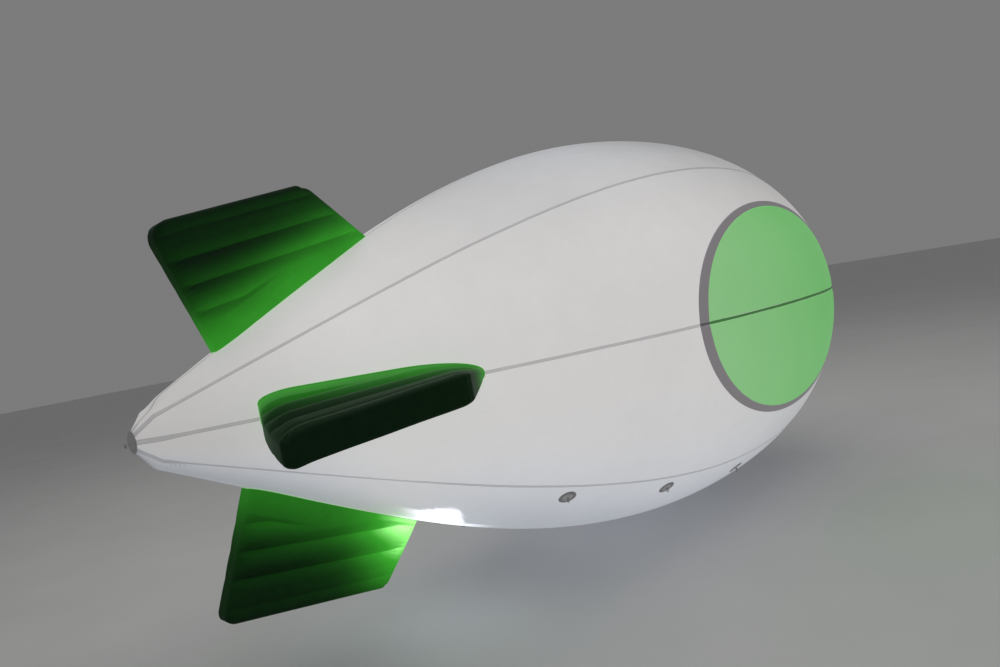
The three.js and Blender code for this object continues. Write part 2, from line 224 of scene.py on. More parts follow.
def hull_slope(station):
    step = 0.0005
    low = max(0.0, station - step)
    high = min(HULL_LENGTH - step, station + step)
    return (hull_radius(high) - hull_radius(low)) / (high - low)


def around(x, radius, angle):
    return Vector((x, -radius * math.sin(angle), radius * math.cos(angle)))


def seam_distance(station, angle):
    """Distance round the hull to the nearest seam, and that seam's number."""
    number = round(angle / GORE_ANGLE)
    return (angle - number * GORE_ANGLE) * hull_radius(station), number


def skin_relief(station, angle):
    """How far the skin stands out from the plain hull shape."""
    away, number = seam_distance(station, angle)
    size = smooth(0.02, 0.6, hull_radius(station))
    valley = -VALLEY_DEPTH * mix(0.35, 1, size) * bell(away, VALLEY_REACH)
    beside = bell(abs(away) - PUCKER_PLACE, PUCKER_REACH)
    pucker = noise_at(station * 21, number * 7.3 + away * 3, 1.7)
    pucker += 0.5 * noise_at(station * 55, number * 3.1, away * 9)
    wave = noise.noise(around(station * 1.3, 1.3 * hull_radius(station), angle) + Vector((4, 1, 2)))
    relief = valley + PUCKER_DEPTH * size * beside * pucker + WAVE_DEPTH * size * wave
    flat = bell(station - CONE_LENGTH, TAIL_FLAT_REACH) * smooth(38, 10, from_top(angle))
    return relief - TAIL_FLAT * flat - PLEAT_DEPTH * pleat(station, away, number)


def pleat(station, away, number):
    """1 in the creases of a few short pleats below each lower seam near the tail, 0 elsewhere."""
    below = away * (GORE_COUNT / 2 - number % GORE_COUNT)
    if number % GORE_COUNT not in LOWER_SEAMS or below < 0:
        return 0.0
    across = sum(bell(station - at, PLEAT_WIDTH) for at in PLEATS)
    return min(1, across) * smooth(0.002, 0.010, below) * smooth(0.034, 0.018, below)


def hull_point(station, angle, lift=0.0):
    slope = hull_slope(station)
    length = math.hypot(1, slope)
    out = skin_relief(station, angle) + lift
    return around(TAIL_X + station - slope / length * out, hull_radius(station) + out / length, angle)


def last_where(test, low, high, halvings):
    """The last value from low towards high for which a test holds."""
    for _ in range(halvings):
        middle = (low + high) / 2
        if test(middle):
            low = middle
        else:
            high = middle
    return low


def station_at_radius(radius):
    """The station in front of the widest place where the hull has narrowed to a radius."""
    return last_where(lambda station: hull_radius(station) > radius, MAX_STATION, HULL_LENGTH, 40)


NOSE_END = station_at_radius(NOSE_OPENING)


def hull_stations(aft_steps, nose_steps):
    """Stations from the tail to the nose opening, closer together at both ends."""
    aft, ahead = MAX_STATION - CONE_LENGTH, HULL_LENGTH - MAX_STATION
    turn = math.asin((NOSE_END - MAX_STATION) / ahead)
    stations = [0.0, 0.03]
    stations += [CONE_LENGTH + aft * (i / aft_steps) ** 1.12 for i in range(aft_steps + 1)]
    stations += [MAX_STATION + ahead * math.sin(turn * i / nose_steps) for i in range(1, nose_steps + 1)]
    return stations


# Mesh building

def add_object(name, vertices, faces, values=None):
    mesh = bpy.data.meshes.new(name)
    mesh.from_pydata([tuple(v) for v in vertices], [], faces)
    mesh.update()
    mesh.polygons.foreach_set("use_smooth", [True] * len(mesh.polygons))
    for key, numbers in (values or {}).items():
        mesh.attributes.new(key, "FLOAT", "POINT").data.foreach_set("value", numbers)
    return put_in_scene(name, mesh)


def add_closed(name, vertices, faces, values=None, sharp=None):
    """A closed piece with its faces turned out; sharp is the least angle of a hard edge, in degrees."""
    volume = 0.0
    for face in faces:
        first, *others = (vertices[n] for n in face)
        volume += sum(first.dot(a.cross(b)) for a, b in zip(others, others[1:]))
    piece = add_object(name, vertices, faces, values)
    if volume < 0:
        piece.data.flip_normals()
    if sharp:
        piece.data.set_sharp_from_angle(angle=math.radians(sharp))
    return piece


def finish_piece(piece, material, slot, *nodes):
    piece.data.materials.append(material)
    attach(piece, "root")
    if nodes:
        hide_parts(*nodes)


def block(name, counts, point, values=None, sharp=None):
    """A closed piece with the six sides of a box lattice; point(i, j, k) gives each corner's place."""
    ni, nj, nk = counts
    index, places, found = {}, [], {key: [] for key in values or {}}

    def corner(i, j, k):
        if (i, j, k) not in index:
            index[i, j, k] = len(places)
            places.append(point(i, j, k))
            for key, rule in (values or {}).items():
                found[key].append(rule(i, j, k))
        return index[i, j, k]

    faces = []
    square = ((0, 0), (1, 0), (1, 1), (0, 1))

    def side(rows, columns, spot):
        for m in range(rows):
            for n in range(columns):
                faces.append(tuple(corner(*spot(m + a, n + b)) for a, b in square))

    side(nj, ni, lambda m, n: (n, m, 0))
    side(ni, nj, lambda m, n: (m, n, nk))
    side(ni, nk, lambda m, n: (m, 0, n))
    side(nk, ni, lambda m, n: (n, nj, m))
    side(nk, nj, lambda m, n: (0, n, m))
    side(nj, nk, lambda m, n: (ni, m, n))
    return add_closed(name, places, faces, found, sharp)


# Light that the skin lets through, by station and by degrees from the top

LAMP_ANGLE = math.radians(160)
LAMP_EDGE = 0.014


def from_top(angle):
    return math.degrees(abs((angle + math.pi) % (2 * math.pi) - math.pi))


def hull_glow(station, angle):
    """Share of full glow: dimmer at the tail and the nose, along the top and under the belly."""
    around_hull = from_top(angle)
    glow = mix(0.74, 1.02, smooth(0.05, 0.8, station))
    glow *= mix(1.0, 0.95, smooth(0.9, 2.2, station)) * mix(1.0, 0.70, smooth(2.2, 4.0, station))
    top = mix(0.12, 0.52, smooth(0.4, 2.0, station)) + 0.3 * smooth(2.0, 3.4, station)
    under = 0.38 * smooth(105, 165, around_hull) ** 2
    return glow * (1 - top * smooth(75, 5, around_hull) - under)


def hull_cool(station, angle):
    """Share of bluish light: along the top ahead of the fins and under the belly, away from the lamp."""
    around_hull = from_top(angle)
    top = smooth(60, 10, around_hull) * smooth(1.0, 2.5, station)
    under = smooth(100, 160, around_hull) * (1 - 0.6 * bell(station - 0.9, 0.25))
    return 0.15 + 0.85 * max(top, under)


def lamp_glow(station, angle):
    """The lamp's bright patch on the belly: its fore edge and its upper edge are sharp.

    low is the distance down round the hull from the lamp's line, fore the distance ahead of the edge.
    """
    low = (math.radians(from_top(angle)) - LAMP_ANGLE) * hull_radius(station)
    edge = mix(1.195, 1.335, clamp((low + 0.107) / 0.196))
    fore = station - edge
    patch = smooth(LAMP_EDGE, -LAMP_EDGE, fore) * smooth(-0.33, -0.15, fore)
    upper = mix(-0.035, -0.10, smooth(1.02, 1.16, station))
    patch *= smooth(upper - LAMP_EDGE, upper + LAMP_EDGE, low)
    rim = smooth(0.075, 0.12, low) * smooth(0.24, 0.0, fore) * smooth(-0.40, -0.15, fore)
    return max(patch, 0.8 * rim) + 0.10 * bell(fore + 0.12, 0.28) * bell(low, 0.2)


def skin_values(place):
    """The light's attributes for a piece of skin; place(i, j) gives a corner's station and angle."""
    def glow(i, j, k):
        station, angle = place(i, j)
        darker = PLEAT_SHADE * pleat(station, *seam_distance(station, angle))
        return hull_glow(station, angle) * (1 - darker)

    return {
        "glow": glow,
        "cool": lambda i, j, k: hull_cool(*place(i, j)),
        "lamp": lambda i, j, k: lamp_glow(*place(i, j)),
    }


# Gores

GORE_PLACES = ("top_starboard", "upper_starboard", "lower_starboard", "bottom_starboard", "bottom_port",
               "lower_port", "upper_port", "top_port")
PLEAT_STEP = 0.0021
PLEAT_ROWS = [0.0805 + PLEAT_STEP * n for n in range(28)]
GORE_ROWS = sorted(hull_stations(130, 56) + PLEAT_ROWS)
GORE_COLUMNS = 30
GORE_GAP = 0.0004


def gore_angle(number, column):
    """Columns lie closer together towards both seams; a gap stays open under each seam."""
    share = column / GORE_COLUMNS
    share = mix(share, 0.5 - 0.5 * math.cos(math.pi * share), 0.6)
    return (number + mix(GORE_GAP, 1 - GORE_GAP, share)) * GORE_ANGLE


def add_gore(place, number, material):
    def point(i, j, k):
        return hull_point(GORE_ROWS[i], gore_angle(number, j), -SKIN * (1 - k))

    values = skin_values(lambda i, j: (GORE_ROWS[i], gore_angle(number, j)))
    piece = block(f"skin_{place}", (len(GORE_ROWS) - 1, GORE_COLUMNS, 1), point, values)
    finish_piece(piece, material, "envelope", f"gore_{place}")


# Seams

SEAM_PLACES = ("top", "upper_starboard", "starboard", "lower_starboard", "bottom", "lower_port", "port",
               "upper_port")
SEAM_ROWS = hull_stations(360, 150)
SEAM_COLUMNS = 6
SEAM_WOBBLE = 0.09
SEAM_DRIFT = 0.0012


def add_seam(place, number, material):
    def width(station):
        wobble = noise_at(station * 4.0, number * 5.1, 0.3)
        wobble += 0.6 * noise_at(station * 17.0, number * 2.3, 4.1)
        wider = 0.35 * smooth(0.16, 0.05, station)
        if number in LOWER_SEAMS:
            wider -= 0.4 * smooth(0.07, 0.15, station) * smooth(1.3, 0.7, station)
        return SEAM_WIDTH * (1 + SEAM_WOBBLE * wobble + wider)

    def angle(i, j):
        station = SEAM_ROWS[i]
        drift = SEAM_DRIFT * noise_at(station * 3.1, number * 9.7, 8.8)
        across = (j / SEAM_COLUMNS - 0.5) * width(station) + drift * smooth(0.0, 0.2, station)
        return number * GORE_ANGLE + across / hull_radius(station)

    def point(i, j, k):
        lift = SEAM_LIFT + SEAM_THICKNESS * k
        if j in (0, SEAM_COLUMNS) and k:
            lift -= 0.6 * SEAM_THICKNESS
        return hull_point(SEAM_ROWS[i], angle(i, j), lift)

    values = skin_values(lambda i, j: (SEAM_ROWS[i], angle(i, j)))
    values["rim"] = lambda i, j, k: abs(2 * j / SEAM_COLUMNS - 1)
    piece = block(f"weld_{place}", (len(SEAM_ROWS) - 1, SEAM_COLUMNS, 1), point, values)
    finish_piece(piece, material, "seam_tape", f"seam_{place}")


# Roundels

SEAM_EDGE = SEAM_WIDTH / 2 + 0.0006
PRINT_THICKNESS = 0.0007
PRINT_GAP = 0.0003
ROUNDEL_STEPS = 160
FIELD_ROWS = 60
BORDER_ROWS = 6


def side_place(x, z):
    """The station and the angle from the top of a place in side view."""
    station = x - TAIL_X
    return station, math.acos(clamp(z / hull_radius(station), -1, 1))


def oval_point(half_length, half_height, upper, share):
    """A place on the oval's rim in side view, above or below the side seam, for a share of its sweep."""
    edge = upper * SEAM_EDGE - ROUNDEL_HEIGHT
    start = math.asin(edge / half_height)
    if upper > 0:
        turn = mix(start, math.pi - start, share)
    else:
        turn = mix(math.pi - start, 2 * math.pi + start, share)
    centre = TAIL_X + ROUNDEL_STATION
    return centre + half_length * math.cos(turn), ROUNDEL_HEIGHT + half_height * math.sin(turn)


def field_place(i, j, upper):
    half_length, half_height = (size - PRINT_GAP for size in ROUNDEL_INNER)
    x, z = oval_point(half_length, half_height, upper, i / ROUNDEL_STEPS)
    return x, mix(upper * SEAM_EDGE, z, j / FIELD_ROWS)


def border_place(i, j, upper):
    sizes = (mix(inner, outer, j / BORDER_ROWS) for inner, outer in zip(ROUNDEL_INNER, ROUNDEL_OUTER))
    return oval_point(*sizes, upper, i / ROUNDEL_STEPS)


def add_print(kind, place, side, upper, rows, spot, material):
    """Half of a roundel's field or border, with upper 1 above the side seam and -1 below it."""
    def point(i, j, k):
        station, angle = side_place(*spot(i, j, upper))
        return hull_point(station, -side * angle, SEAM_LIFT + PRINT_THICKNESS * k)

    def glow(i, j, k):
        return hull_glow(*side_place(*spot(i, j, upper)))

    piece = block(f"print_{kind}_{place}", (ROUNDEL_STEPS, rows, 1), point, {"glow": glow})
    finish_piece(piece, material, f"roundel_{kind}", f"roundel_{kind}_{place}")


def add_roundel_half(place, side, upper, field_material, border_material):
    add_print("field", place, side, upper, FIELD_ROWS, field_place, field_material)
    add_print("border", place, side, upper, BORDER_ROWS, border_place, border_material)


# Fins

def risen(edge, distance):
    """Share of its height that a face has reached at a distance from an edge (wall, rounding)."""
    wall, rounding = edge
    share = clamp(distance / rounding)
    return wall + (1 - wall) * math.sqrt(1 - (1 - share) ** 2)


def side_edge(tip, root, down):
    """A side edge's wall and rounding, from the tip (0) to the foot (1)."""
    return mix(tip[0], root[0], down), mix(tip[1], root[1], down)


class FinShape:
    """One fin: its plane is X and up, turned about X to its place; thick across its plane."""

    def __init__(self, place, turn, corners, rounding, sags=(0.0, 0.0), rise=0.0, droop=0.0, bow=0.0,
                 root_half=FIN_ROOT_HALF, light=1.0):
        self.place, self.light = place, light
        self.rounding, self.root_half = rounding, root_half
        self.sags, self.rise, self.droop, self.bow = sags, rise, droop, bow
        self.seed = turn / 10
        self.angle = math.remainder(math.radians(turn), 2 * math.pi)
        self.turn = Matrix.Rotation(math.radians(turn), 4, "X")
        self.root_aft, self.root_fore, self.tip_aft, self.tip_fore = (Vector(c) for c in corners)
        self.along = (self.tip_fore - self.tip_aft).normalized()
        self.inward = Vector((self.along.y, -self.along.x))
        self.sag_side = -1 if math.sin(math.radians(turn)) > 0 else 1

    def edge(self, root, tip, depth):
        down = root - tip
        return (tip - self.tip_aft).dot(self.along) + down.dot(self.along) * depth / down.dot(self.inward)

    def half(self, depth, from_aft, from_fore, gap):
        """Half thickness at a depth below the tip, at distances from the side edges and the hull."""
        down = depth / max(depth + gap, 1e-6)
        half = mix(FIN_TIP_HALF, self.root_half, down)
        for at, left, reach, stop in CREASES:
            near = max(0.0, 1 - abs(depth - at) / reach)
            fade = min(1, mix(0.3, 1, clamp(from_aft / CREASE_FADE_AFT)), from_fore / CREASE_FADE_FORE)
            fade = min(fade, clamp((gap - stop) / CREASE_FADE_FOOT))
            half *= 1 - (1 - left) * near * near * fade
        half *= risen(side_edge(AFT_EDGE_TIP, AFT_EDGE_ROOT, down), from_aft)
        half *= risen(side_edge(FORE_EDGE_TIP, FORE_EDGE_ROOT, down), from_fore)
        return half * risen(TIP_EDGE, depth)

    def wrinkle(self, depth, from_aft, from_fore, face):
        """Small puckers across the creases and pleats where the tubes end at the side edges."""
        relief = 0.0
        for n, (at, left, _, _) in enumerate(CREASES):
            near = max(0.0, 1 - abs(depth - at) / WRINKLE_REACH)
            pull = noise_at(from_aft * 34, n * 3.3 + face, self.seed)
            pull += 0.5 * noise_at(from_aft * 90, n * 5.3 + face, self.seed)
            relief += (1 - left) * WRINKLE_DEPTH * near * near * pull
            ends = bell(from_aft - 0.03, 0.035) + bell(from_fore - 0.06, 0.04)
            fan = math.sin((depth - at) * 2 * math.pi / FAN_PITCH + 60 * from_aft)
            relief += (1 - left) * FAN_DEPTH * ends * bell(depth - at, FAN_REACH) * fan
        return relief + FILM_WAVE * noise_at(from_aft * 5, depth * 8, self.seed + face * 4)

    def place_at(self, share, depth, height):
        """A point for a share of the way from the aft to the fore edge and of the half thickness."""
        aft = self.edge(self.root_aft, self.tip_aft, depth)
        fore = self.edge(self.root_fore, self.tip_fore, depth)
        aft -= self.bow * math.sin(math.pi * clamp(depth / BOW_SPAN))
        from_aft = share * (fore - aft)
        from_fore = fore - aft - from_aft
        nearer = min(from_aft, from_fore)
        face = 1 if height > 0 else -1
        side, below = nearer, depth
        corner = self.rounding[0 if from_aft <= from_fore else 1]
        x, y = corner - nearer, corner - depth
        if x > 0 and y > 0:
            pull = max(x, y) / math.hypot(x, y)
            side, below = corner - x * pull, corner - y * pull
        across = aft + side if from_aft <= from_fore else fore - side
        spot = self.tip_aft + self.along * across + self.inward * below
        gap = max(0.0, spot.y - hull_radius(spot.x))
        half = self.half(depth, from_aft, from_fore, gap)
        inside = smooth(0, 0.03, nearer + 0.004) * smooth(0, 0.03, depth + 0.004)
        inside *= smooth(0, 0.05, gap + 0.01)
        half += self.wrinkle(depth, from_aft, from_fore, face) * inside
        down = depth / max(depth + gap, 1e-6)
        droop = self.droop * bell(from_aft, DROOP_REACH)
        middle = (mix(*self.sags, share) + droop) * (1 - down) - self.rise * (1 - share) * down
        return self.turn @ Vector((TAIL_X + spot.x, middle * self.sag_side + height * half, spot.y))

    def toward_hull(self):
        return self.turn @ Vector((self.inward.x, 0, self.inward.y))

    def foot_depth(self, share, height):
        """Depth at which the line down from the tip meets the hull."""
        def above_hull(depth):
            point = self.place_at(share, depth, height)
            station = clamp(point.x - TAIL_X, 0.0, HULL_LENGTH)
            return math.hypot(point.y, point.z) > hull_radius(station) + FIN_FOOT

        return last_where(above_hull, 0.1, 0.75, 26)


FIN_COLUMNS = 150
FIN_ROWS = 150
FIN_WALL = 10
FILM_LIGHT = 0.62
FILM_REACH = 0.14
HULL_LIGHT = 0.11
HULL_REACH = 0.24
LAMP_PLACE = Vector((TAIL_X + 1.19, 0, -0.71))
LAMP_NEAR = 1.9
LAMP_NEAR_REACH = 0.30
LAMP_FAR = 0.15
LAMP_FAR_REACH = 0.25


def fin_share(i):
    """Columns lie closer together towards the aft and the fore edge."""
    share = i / FIN_COLUMNS
    return mix(share, 0.5 - 0.5 * math.cos(math.pi * share), 0.5)


def fin_glow(away, facing):
    """Light that reaches a place: through the film near the foot, and from the hull on what faces it."""
    through = bell(away, FILM_REACH) * (1 + 0.15 * facing)
    along = math.exp(-away / HULL_REACH) * clamp(1 + 2.8 * facing, 0.02, 2.4)
    return FILM_LIGHT * through + HULL_LIGHT * along


def lamp_on_fin(point, facing):
    """The lamp's light on the bottom fin, strongest where its front end meets the hull."""
    away = (point - LAMP_PLACE).length
    near = math.exp(-((away / LAMP_NEAR_REACH) ** 2.5)) * (1 + 0.3 * facing)
    return LAMP_NEAR * near + LAMP_FAR * math.exp(-away / LAMP_FAR_REACH)


def add_fin(shape, material):
    feet = {}

    def foot(i, k):
        if (i, k) not in feet:
            feet[i, k] = shape.foot_depth(fin_share(i), 1 - 2 * k / FIN_WALL)
        return feet[i, k]

    def depth(i, j, k):
        return foot(i, k) * (j / FIN_ROWS)

    def point(i, j, k):
        return shape.place_at(fin_share(i), depth(i, j, k), 1 - 2 * k / FIN_WALL)

    def away(i, j, k):
        return foot(i, k) - depth(i, j, k)

    piece = block(f"fin_skin_{shape.place}", (FIN_COLUMNS, FIN_ROWS, FIN_WALL), point, {"glow": away})
    reached = piece.data.attributes["glow"].data
    hull = shape.toward_hull()
    for vertex in piece.data.vertices:
        facing = vertex.normal.dot(hull)
        light = shape.light * fin_glow(reached[vertex.index].value, facing)
        if shape.place == "bottom":
            light += lamp_on_fin(vertex.co, facing)
        reached[vertex.index].value = light
    finish_piece(piece, material, "fin_skin", f"fin_{shape.place}")
    return feet


# Pieces with a closed round section

def turned(name, profile, steps, place):
    """A closed round piece; the profile is (radius, height) from the top's middle to the bottom's."""
    rings = profile[1:-1]
    places = [place(0.0, 0.0, profile[0][1])]
    for radius, height in rings:
        for n in range(steps):
            turn = 2 * math.pi * n / steps
            places.append(place(radius * math.cos(turn), radius * math.sin(turn), height))
    places.append(place(0.0, 0.0, profile[-1][1]))
    faces = []
    last = len(places) - 1
    for n in range(steps):
        after = (n + 1) % steps
        faces.append((0, 1 + n, 1 + after))
        for r in range(len(rings) - 1):
            a, b = 1 + r * steps, 1 + (r + 1) * steps
            faces.append((a + n, b + n, b + after, a + after))
        end = 1 + (len(rings) - 1) * steps
        faces.append((last, end + after, end + n))
    return add_closed(name, places, faces, sharp=50)


def band(name, steps, sides, place, values=None, sharp=None):
    """A piece closed both ways round: place(i, j) gives point j of section i."""
    places = [place(i, j) for i in range(steps) for j in range(sides)]
    faces = []
    for i in range(steps):
        for j in range(sides):
            a, b = i * sides, (i + 1) % steps * sides
            after = (j + 1) % sides
            faces.append((a + j, b + j, b + after, a + after))
    return add_closed(name, places, faces, values, sharp)


# Root tapes: a welded strip on the hull round each fin's foot

ROOT_TAPE_SECTION = (
    # distance out from the fin's foot, height above the hull
    (-0.002, 0.0006), (-0.002, 0.0016), (0.0, 0.0034), (0.003, 0.0022),
    (ROOT_TAPE_REACH - 0.0008, 0.0018), (ROOT_TAPE_REACH, 0.0006),
)


def add_root_tape(shape, feet, material):
    """The strip follows the foot's outline, laid flat as (station, distance round the hull)."""
    loop = [(i, 0) for i in range(FIN_COLUMNS)]
    loop += [(FIN_COLUMNS, k) for k in range(FIN_WALL)]
    loop += [(i, FIN_WALL) for i in range(FIN_COLUMNS, 0, -1)]
    loop += [(0, k) for k in range(FIN_WALL, 0, -1)]
    spots = []
    for i, k in loop:
        point = shape.place_at(fin_share(i), feet[i, k], 1 - 2 * k / FIN_WALL)
        station = point.x - TAIL_X
        angle = math.atan2(-point.y, point.z)
        turn = (angle - shape.angle + math.pi) % (2 * math.pi) - math.pi
        spots.append(Vector((station, turn * hull_radius(station))))
    count = len(spots)
    turned_round = 1 if sum(spots[n - 1].cross(spots[n]) for n in range(count)) > 0 else -1
    outs = []
    for n in range(count):
        ahead = spots[(n + 3) % count] - spots[(n - 3) % count]
        outs.append(turned_round * Vector((ahead.y, -ahead.x)).normalized())

    def place(i, j):
        reach, lift = ROOT_TAPE_SECTION[j]
        spot = spots[i] + outs[i] * reach
        return hull_point(spot.x, shape.angle + spot.y / hull_radius(spot.x), lift)

    rim = [clamp(reach / ROOT_TAPE_REACH) for _ in range(count) for reach, _ in ROOT_TAPE_SECTION]
    piece = band(f"foot_tape_{shape.place}", count, len(ROOT_TAPE_SECTION), place, {"rim": rim})
    finish_piece(piece, material, "fin_tape", f"fin_root_tape_{shape.place}")


# Tether points

def surface_frame(station, angle, lift):
    """Axes on the hull's surface: X ahead, Y to port round the hull and Z out."""
    slope = hull_slope(station)
    length = math.hypot(1, slope)
    out = around(-slope / length, 1 / length, angle)
    port = Vector((0, math.cos(angle), math.sin(angle)))
    ahead = port.cross(out)
    turn = Matrix((ahead, port, out)).transposed().to_4x4()
    return Matrix.Translation(hull_point(station, angle, lift)) @ turn


def end_frame(x, facing):
    """Axes on the flat face of an end: X to port and Z out."""
    turn = Matrix((Vector((0, 1, 0)), Vector((0, 0, facing)), Vector((facing, 0, 0)))).transposed()
    return Matrix.Translation((x, 0, 0)) @ turn.to_4x4()


def add_ring(name, place, turned_out, material):
    """A wire ring that hangs from a place, in the plane of X and Z or, turned, of Y and Z."""
    turn = Matrix.Rotation(math.radians(90) if turned_out else 0, 3, "Z")
    steps, sides = 56, 14

    def point(i, j):
        a, b = 2 * math.pi * i / steps, 2 * math.pi * j / sides
        reach = RING_RADIUS + RING_WIRE * math.cos(b)
        local = Vector((reach * math.sin(a), RING_WIRE * math.sin(b), reach * math.cos(a) - RING_RADIUS))
        return place + turn @ local

    piece = band(f"wire_ring_{name}", steps, sides, point)
    finish_piece(piece, material, "ring_metal", f"tether_ring_{name}")


def add_keeper(name, base, standoff, material):
    """A webbing loop that stands on the patch and passes over the ring's wire."""
    reach = RING_WIRE + 0.0016
    top = standoff + reach
    steps, columns = 28, 4

    def point(i, j, k):
        share = i / steps
        turn = math.pi * share
        y = -reach * math.cos(turn) * (1 + 0.5 * abs(math.cos(turn)) ** 6)
        z = top * math.sin(turn) ** 0.45 if 0 < share < 1 else -0.0005
        normal = Vector((0, -math.cos(turn), math.sin(turn) + 0.15)).normalized()
        across = KEEPER_WIDTH * (j / columns - 0.5)
        return base @ (Vector((across, y, z)) - normal * WEBBING * (1 - k))

    finish_piece(block(f"keeper_{name}", (steps, columns, 1), point, sharp=40), material, "patch")


def add_kept_ring(name, base, standoff, turned_out, webbing, metal):
    add_keeper(name, base, standoff, webbing)
    add_ring(name, base @ Vector((0, 0, standoff)), turned_out, metal)


def add_tether_patch(name, station, angle, cloth, cap, metal):
    """Two welded discs that follow the skin, a webbing keeper and its ring."""
    on_skin = on_skin_at(station, angle)
    rim, thickness = PATCH_RADIUS, 0.0016
    disc = [(rim * share, thickness) for share in (0, 0.15, 0.3, 0.45, 0.6, 0.75, 0.88)]
    disc += [(rim - 0.0012, 0.0015), (rim, 0.0008), (rim, 0.0003), (rim * 0.5, 0.0002), (0, 0.0002)]
    finish_piece(turned(f"patch_{name}", disc, 72, on_skin), cloth, "patch", f"tether_patch_{name}")
    rim, thickness = 0.6 * PATCH_RADIUS, PATCH_THICKNESS
    disc = [(rim * share, thickness) for share in (0, 0.3, 0.6, 0.85)]
    disc += [(rim - 0.001, thickness - 0.0002), (rim, thickness - 0.0008), (rim, 0.0017)]
    disc += [(rim * 0.5, 0.00165), (0, 0.00165)]
    finish_piece(turned(f"patch_cap_{name}", disc, 60, on_skin), cap, "patch")
    base = surface_frame(station, angle, PATCH_THICKNESS)
    add_kept_ring(name, base, RING_STANDOFF, False, cloth, metal)


def add_tail_end(cloth, film, metal):
    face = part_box("tether_patch_tail")[1].x - PATCH_THICKNESS
    base = end_frame(face, -1)
    radius = TAIL_DISC_RADIUS

    def place(a, b, height):
        return base @ Vector((a, b, height))

    profile = [(radius * share, 0.0006 - 0.0004 * share) for share in (0, 0.2, 0.4, 0.6, 0.75)]
    profile += [(radius * 0.84, 0.0001), (radius * 0.88, 0.0012), (radius * 0.96, 0.0013), (radius, 0.0002)]
    profile += [(radius * share, -PATCH_THICKNESS) for share in (1, 0.5, 0)]
    finish_piece(turned("tail_disc", profile, 96, place), cloth, "patch", "tether_patch_tail")
    bead = 0.0022
    steps, sides = 96, 10

    def rim_point(i, j):
        a, b = 2 * math.pi * i / steps, 2 * math.pi * j / sides
        reach = radius + 0.0012 + bead * math.cos(b)
        return Vector((TAIL_X - 0.0016 - bead * math.sin(b), reach * math.cos(a), reach * math.sin(a)))

    finish_piece(band("tail_bead", steps, sides, rim_point), film, "envelope")
    add_kept_ring("tail", base, END_RING_STANDOFF, True, cloth, metal)


def add_nose_end(cloth, cap, metal):
    """A patch with a flat middle that follows the skin around it, with a cap, a keeper and its ring."""
    rim, flat = NOSE_PATCH_RADIUS, 0.045
    thickness, lift = 0.004, 0.0028
    front = hull_point(station_at_radius(flat), GORE_ANGLE / 2, lift).x

    def place(a, b, height):
        radius = math.hypot(a, b)
        if radius <= flat:
            return Vector((front + height, a, b))
        return hull_point(station_at_radius(radius), math.atan2(-a, b), lift + height)

    profile = [(flat * share, thickness) for share in (0, 0.2, 0.5, 0.8)]
    profile += [(mix(flat, rim, n / 12), thickness) for n in range(12)]
    profile += [(rim - 0.002, thickness * 0.9), (rim, thickness * 0.3), (rim, 0.0)]
    profile += [(mix(rim, flat, n / 6), 0.0) for n in range(1, 7)] + [(flat * 0.5, 0.0), (0, 0.0)]
    finish_piece(turned("nose_patch", profile, 96, place), cloth, "patch", "tether_patch_nose")
    disc = [(radius, thickness + 0.001) for radius in (0, 0.02, 0.036)] + [(0.038, thickness + 0.0004)]
    disc += [(radius, thickness - 0.0001) for radius in (0.038, 0.02, 0)]
    finish_piece(turned("nose_cap", disc, 60, place), cap, "patch")
    add_kept_ring("nose", end_frame(front + thickness, 1), END_RING_STANDOFF, True, cloth, metal)


# Belly fittings

BELLY_ANGLE = math.radians(192)
ZIP_STATION = 2.0
ZIP_LENGTH = 0.42
ZIP_WIDTH = 0.046
ZIP_COUNTS = (90, 12, 1)
ZIP_EDGE = 0.003
STITCH_PITCH = 0.004
TOOTH_COUNT = 150
TOOTH_HEIGHTS = (0.0025, 0.0037)
GLAND_STATION = 1.64
GLAND_RADIUS = 0.021
GLAND_BORE = 0.006
GLAND_LENGTH = 0.032
VALVE_STATION = 1.45
VALVE_RADIUS = 0.046
VALVE_CAP = 0.026
VALVE_HEIGHT = 0.022
FITTING_LIFT = 0.001


def on_skin_at(station, angle):
    """A function that lays (ahead, round the hull, height) on the skin at a place."""
    tilt = math.hypot(1, hull_slope(station))
    radius = hull_radius(station)
    return lambda a, b, height: hull_point(station + a / tilt, angle + b / radius, height)


def add_zip(cloth, metal):
    place = on_skin_at(ZIP_STATION, BELLY_ANGLE)

    def flap(i, j, k):
        a = (i / ZIP_COUNTS[0] - 0.5) * ZIP_LENGTH
        b = (j / ZIP_COUNTS[1] - 0.5) * ZIP_WIDTH
        edge = min(1, (0.5 * ZIP_WIDTH - abs(b)) / ZIP_EDGE, (0.5 * ZIP_LENGTH - abs(a)) / ZIP_EDGE)
        stitch = 0.0003 * math.sin(a * 2 * math.pi / STITCH_PITCH) * bell(abs(b) - 0.018, 0.001)
        hill = 0.0012 * bell(b, 0.006)
        return place(a, b, 0.0004 + k * (0.0008 + 0.0014 * max(0, edge) ** 0.5 + hill + stitch))

    finish_piece(block("zip_flap", ZIP_COUNTS, flap), cloth, "dark_fitting", "lamp_zip_flap")
    teeth = []
    faces = []
    for n in range(TOOTH_COUNT):
        a = (n / (TOOTH_COUNT - 1) - 0.5) * (ZIP_LENGTH - 0.03)
        side = 1 if n % 2 else -1
        start = len(teeth)
        for height in TOOTH_HEIGHTS:
            for da, db in ((-1, -1), (1, -1), (1, 1), (-1, 1)):
                teeth.append(place(a + da * 0.001, side * 0.0012 + db * 0.0018, height))
        for quad in ((0, 3, 2, 1), (4, 5, 6, 7), (0, 1, 5, 4), (1, 2, 6, 5), (2, 3, 7, 6), (3, 0, 4, 7)):
            faces.append(tuple(start + q for q in quad))
    finish_piece(add_closed("zip_teeth", teeth, faces, sharp=30), metal, "dark_fitting")


